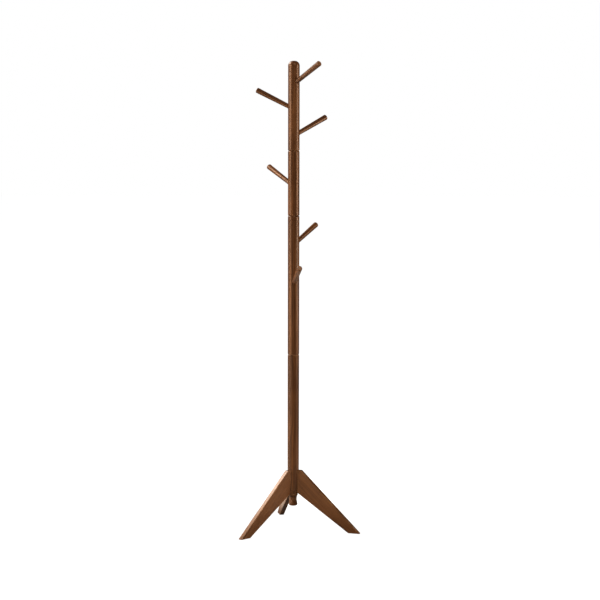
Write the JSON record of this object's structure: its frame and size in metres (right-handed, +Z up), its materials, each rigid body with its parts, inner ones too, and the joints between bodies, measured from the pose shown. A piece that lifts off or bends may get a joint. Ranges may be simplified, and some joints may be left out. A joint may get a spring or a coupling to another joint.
{
  "type": "coat rack",
  "caption": "Standing coat rack: round turned wooden pole in screwed sections, sloping screwed pegs, and a tripod of flat splayed legs clamped by a turned knob.",
  "frame": {"origin": "the pole's axis at the floor", "axes": "+Z up along the pole, +Y along the rear leg, +X towards the right leg's side; the front is -Y"},
  "size_m": [0.4826, 0.4269, 1.8225],
  "materials": {
    "pole_wood": "dark walnut stain under satin varnish",
    "leg_wood": "dark walnut stain under satin varnish",
    "peg_wood": "dark walnut stain under satin varnish",
    "knob_wood": "dark walnut stain under satin varnish",
    "stud_steel": "bright zinc plate",
    "insert_brass": "plain turned brass"
  },
  "bodies": {
    "base": {"base_section": "pole_wood", "right_leg": "leg_wood", "rear_leg": "leg_wood", "left_leg": "leg_wood", "knob_stud": "stud_steel", "lower_stud": "stud_steel"},
    "collar": {"clamp_collar": "knob_wood"},
    "knob": {"locking_knob": "knob_wood", "knob_insert": "insert_brass"},
    "lower_lift": {"lower_insert": "insert_brass"},
    "lower": {"lower_section": "pole_wood", "middle_stud": "stud_steel", "peg_insert_5": "insert_brass", "peg_insert_6": "insert_brass"},
    "middle_lift": {"middle_insert": "insert_brass"},
    "middle": {"middle_section": "pole_wood", "top_stud": "stud_steel", "peg_insert_4": "insert_brass"},
    "top_lift": {"top_insert": "insert_brass"},
    "top": {"top_section": "pole_wood", "peg_insert_1": "insert_brass", "peg_insert_2": "insert_brass", "peg_insert_3": "insert_brass"},
    "peg_1_travel": {"peg_stud_1": "stud_steel"},
    "peg_1": {"peg_1": "peg_wood"},
    "peg_2_travel": {"peg_stud_2": "stud_steel"},
    "peg_2": {"peg_2": "peg_wood"},
    "peg_3_travel": {"peg_stud_3": "stud_steel"},
    "peg_3": {"peg_3": "peg_wood"},
    "peg_4_travel": {"peg_stud_4": "stud_steel"},
    "peg_4": {"peg_4": "peg_wood"},
    "peg_5_travel": {"peg_stud_5": "stud_steel"},
    "peg_5": {"peg_5": "peg_wood"},
    "peg_6_travel": {"peg_stud_6": "stud_steel"},
    "peg_6": {"peg_6": "peg_wood"}
  },
  "joints": [
    {"name": "collar_drop", "type": "slide", "parent": "base", "child": "collar", "axis": [0, 0, -1], "range_m": [0, 0.02]},
    {"name": "knob_turn", "type": "hinge", "parent": "collar", "child": "knob", "pos_m": [0, 0, 0.14], "axis": [0, 0, -1], "range_deg": [0, 5760]},
    {"name": "lower_rise", "type": "slide", "parent": "base", "child": "lower_lift", "axis": [0, 0, 1], "range_m": [0, 0.024]},
    {"name": "lower_turn", "type": "hinge", "parent": "lower_lift", "child": "lower", "pos_m": [0, 0, 0.69], "axis": [0, 0, 1], "range_deg": [0, 5760]},
    {"name": "middle_rise", "type": "slide", "parent": "lower", "child": "middle_lift", "axis": [0, 0, 1], "range_m": [0, 0.024]},
    {"name": "middle_turn", "type": "hinge", "parent": "middle_lift", "child": "middle", "pos_m": [0, 0, 1.23], "axis": [0, 0, 1], "range_deg": [0, 5760]},
    {"name": "top_rise", "type": "slide", "parent": "middle", "child": "top_lift", "axis": [0, 0, 1], "range_m": [0, 0.024]},
    {"name": "top_turn", "type": "hinge", "parent": "top_lift", "child": "top", "pos_m": [0, 0, 1.48], "axis": [0, 0, 1], "range_deg": [0, 5760]},
    {"name": "peg_1_rise", "type": "slide", "parent": "top", "child": "peg_1_travel", "axis": [0.422, -0.7936, 0.4384], "range_m": [0, 0.012]},
    {"name": "peg_1_turn", "type": "hinge", "parent": "peg_1_travel", "child": "peg_1", "pos_m": [0, 0, 1.7345], "axis": [0.422, -0.7936, 0.4384], "range_deg": [0, 4320]},
    {"name": "peg_2_rise", "type": "slide", "parent": "top", "child": "peg_2_travel", "axis": [-0.7784, 0.4494, 0.4384], "range_m": [0, 0.012]},
    {"name": "peg_2_turn", "type": "hinge", "parent": "peg_2_travel", "child": "peg_2", "pos_m": [0, 0, 1.6395], "axis": [-0.7784, 0.4494, 0.4384], "range_deg": [0, 4320]},
    {"name": "peg_3_rise", "type": "slide", "parent": "top", "child": "peg_3_travel", "axis": [0.8333, 0.3367, 0.4384], "range_m": [0, 0.012]},
    {"name": "peg_3_turn", "type": "hinge", "parent": "peg_3_travel", "child": "peg_3", "pos_m": [0, 0, 1.5375], "axis": [0.8333, 0.3367, 0.4384], "range_deg": [0, 4320]},
    {"name": "peg_4_rise", "type": "slide", "parent": "middle", "child": "peg_4_travel", "axis": [-0.4357, 0.7861, 0.4384], "range_m": [0, 0.012]},
    {"name": "peg_4_turn", "type": "hinge", "parent": "peg_4_travel", "child": "peg_4", "pos_m": [0, 0, 1.345], "axis": [-0.4357, 0.7861, 0.4384], "range_deg": [0, 4320]},
    {"name": "peg_5_rise", "type": "slide", "parent": "lower", "child": "peg_5_travel", "axis": [0.6679, 0.6014, 0.4384], "range_m": [0, 0.012]},
    {"name": "peg_5_turn", "type": "hinge", "parent": "peg_5_travel", "child": "peg_5", "pos_m": [0, 0, 1.118], "axis": [0.6679, 0.6014, 0.4384], "range_deg": [0, 4320]},
    {"name": "peg_6_rise", "type": "slide", "parent": "lower", "child": "peg_6_travel", "axis": [-0.047, -0.8976, 0.4384], "range_m": [0, 0.012]},
    {"name": "peg_6_turn", "type": "hinge", "parent": "peg_6_travel", "child": "peg_6", "pos_m": [0, 0, 0.9655], "axis": [-0.047, -0.8976, 0.4384], "range_deg": [0, 4320]}
  ],
  "couplings": [
    {"joint": "collar_drop", "follows": "knob_turn", "m_per_rad": 0.00019894},
    {"joint": "lower_rise", "follows": "lower_turn", "m_per_rad": 0.00023873},
    {"joint": "middle_rise", "follows": "middle_turn", "m_per_rad": 0.00023873},
    {"joint": "top_rise", "follows": "top_turn", "m_per_rad": 0.00023873},
    {"joint": "peg_1_turn", "follows": "peg_1_rise", "rad_per_m": 6283.2},
    {"joint": "peg_2_turn", "follows": "peg_2_rise", "rad_per_m": 6283.2},
    {"joint": "peg_3_turn", "follows": "peg_3_rise", "rad_per_m": 6283.2},
    {"joint": "peg_4_turn", "follows": "peg_4_rise", "rad_per_m": 6283.2},
    {"joint": "peg_5_turn", "follows": "peg_5_rise", "rad_per_m": 6283.2},
    {"joint": "peg_6_turn", "follows": "peg_6_rise", "rad_per_m": 6283.2}
  ]
}
